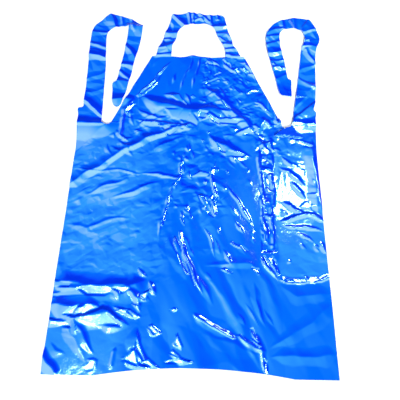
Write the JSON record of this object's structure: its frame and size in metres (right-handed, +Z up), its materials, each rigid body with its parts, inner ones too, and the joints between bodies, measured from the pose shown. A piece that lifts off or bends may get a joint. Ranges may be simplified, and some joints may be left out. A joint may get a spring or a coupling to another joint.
{
  "type": "butcher apron",
  "caption": "Glossy blue plastic-film apron die-cut in one layer, with bib, neck loop and hairpin waist ties, lying flat and creased from its packing.",
  "frame": {"origin": "centre of the bounding box, on the plane that the apron lies on", "axes": "+Y from the hem to the neck along the apron's length, +Z up out of the face, +X across it"},
  "size_m": [0.8381, 1.2173, 0.006],
  "materials": {
    "film": "thin glossy plastic film with a fine haircell grain, creased from packing"
  },
  "bodies": {
    "skirt": {"upper_skirt": "film", "left_tie_root": "film", "right_tie_root": "film"},
    "lower_skirt": {"lower_skirt": "film"},
    "bib": {"bib": "film"},
    "neck_loop": {"neck_loop_left": "film", "neck_loop_crown": "film", "neck_loop_right": "film"},
    "left_tie": {"left_tie_riser": "film", "left_tie_corner": "film", "left_tie_crown": "film"},
    "left_tie_end": {"left_tie_end": "film"},
    "right_tie": {"right_tie_riser": "film", "right_tie_corner": "film", "right_tie_crown": "film"},
    "right_tie_end": {"right_tie_end": "film"}
  },
  "joints": [
    {"name": "hem_fold", "type": "hinge", "parent": "skirt", "child": "lower_skirt", "pos_m": [-0.019, -0.3705, 0.012], "axis": [-1, 0, 0], "range_deg": [0, 180]},
    {"name": "bib_fold", "type": "hinge", "parent": "skirt", "child": "bib", "pos_m": [-0.019, 0.1445, 0.018], "axis": [1, 0, 0], "range_deg": [0, 180]},
    {"name": "neck_fold", "type": "hinge", "parent": "bib", "child": "neck_loop", "pos_m": [-0.019, 0.4135, 0.012], "axis": [1, 0, 0], "range_deg": [0, 180]},
    {"name": "left_tie_fold", "type": "hinge", "parent": "skirt", "child": "left_tie", "pos_m": [-0.335, 0.1575, 0.018], "axis": [0.7071, -0.7071, 0], "range_deg": [0, 180]},
    {"name": "left_end_fold", "type": "hinge", "parent": "left_tie", "child": "left_tie_end", "pos_m": [-0.249, 0.5425, 0.012], "axis": [-1, 0, 0], "range_deg": [0, 180]},
    {"name": "right_tie_fold", "type": "hinge", "parent": "skirt", "child": "right_tie", "pos_m": [0.3, 0.1595, 0.018], "axis": [0.7071, 0.7071, 0], "range_deg": [0, 180]},
    {"name": "right_end_fold", "type": "hinge", "parent": "right_tie", "child": "right_tie_end", "pos_m": [0.249, 0.5055, 0.012], "axis": [-1, 0, 0], "range_deg": [0, 180]}
  ]
}
